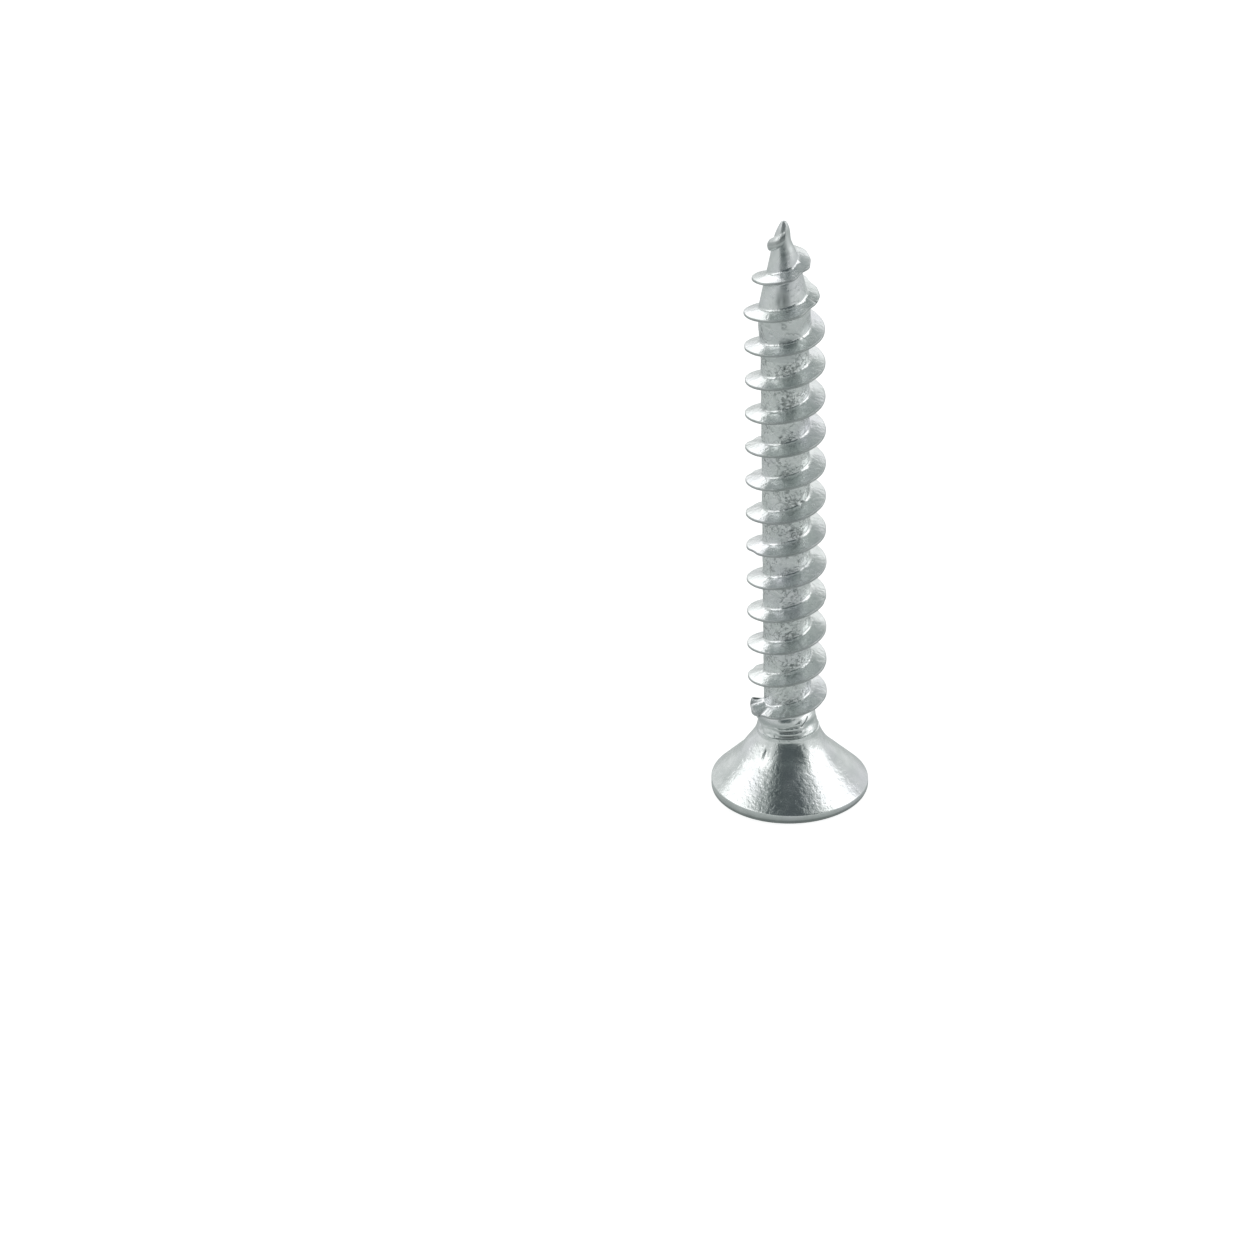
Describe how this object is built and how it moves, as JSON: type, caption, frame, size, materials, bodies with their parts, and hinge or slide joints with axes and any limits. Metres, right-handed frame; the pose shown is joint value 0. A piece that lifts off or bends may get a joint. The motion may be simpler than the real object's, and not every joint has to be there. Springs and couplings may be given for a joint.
{
  "type": "countersunk wood screw",
  "caption": "Countersunk steel wood screw with a cross recess, a coarse single-start thread and a gimlet point.",
  "frame": {"origin": "centre of the flat head face, which the screw stands on", "axes": "+Z along the screw's axis from the head to the point; the flight starts on the -X side; +X and +Y lie along the wings of the cross recess"},
  "size_m": [0.01, 0.01, 0.04],
  "materials": {
    "zinc_plated_steel": "bright clear zinc plate, glossy with fine rolling and handling marks"
  },
  "bodies": {
    "root": {"countersunk_head": "zinc_plated_steel", "neck": "zinc_plated_steel", "shank_core": "zinc_plated_steel", "shank_thread": "zinc_plated_steel", "gimlet_point": "zinc_plated_steel", "point_thread": "zinc_plated_steel"}
  },
  "joints": []
}
